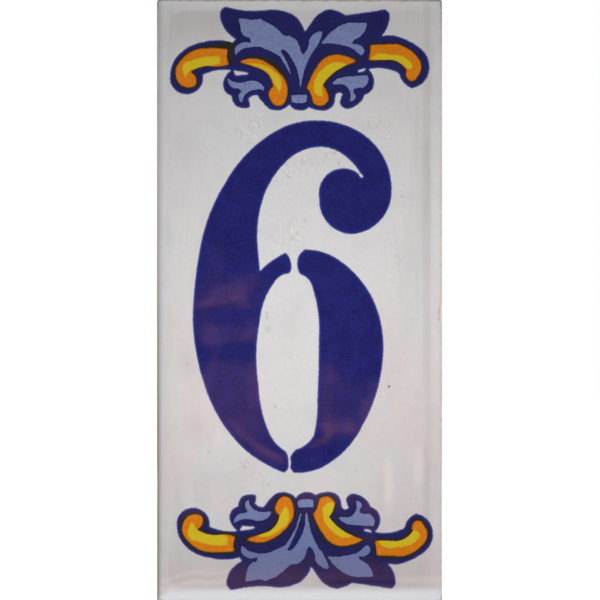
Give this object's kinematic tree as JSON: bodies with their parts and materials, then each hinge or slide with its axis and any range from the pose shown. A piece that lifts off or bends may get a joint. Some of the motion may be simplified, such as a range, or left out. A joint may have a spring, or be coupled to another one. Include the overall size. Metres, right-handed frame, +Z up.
{
  "type": "house number plaque",
  "caption": "Upright glazed ceramic tile with a stencil-cut blue numeral between scroll and leaf ornaments, bedded on a wall by its keyed back.",
  "frame": {"origin": "Middle of the back, on the plane of the key ribs that meets the wall.", "axes": "+X to the right as the front is read, +Y out of the back into the wall, +Z up along the tile's height."},
  "size_m": [0.071, 0.0074, 0.15],
  "materials": {
    "glaze": "glossy off-white tin glaze, slightly wavy",
    "cobalt": "glossy cobalt blue fired colour",
    "navy": "glossy navy fired colour",
    "pale_blue": "glossy pale blue fired colour with fine grain",
    "orange": "glossy orange fired colour",
    "yellow": "glossy yellow fired colour"
  },
  "bodies": {
    "root": {"tile": "glaze", "numeral": "cobalt", "ornament_outline": "navy", "ornament_leaves": "pale_blue", "ornament_scrolls": "orange", "ornament_highlights": "yellow"}
  },
  "joints": []
}
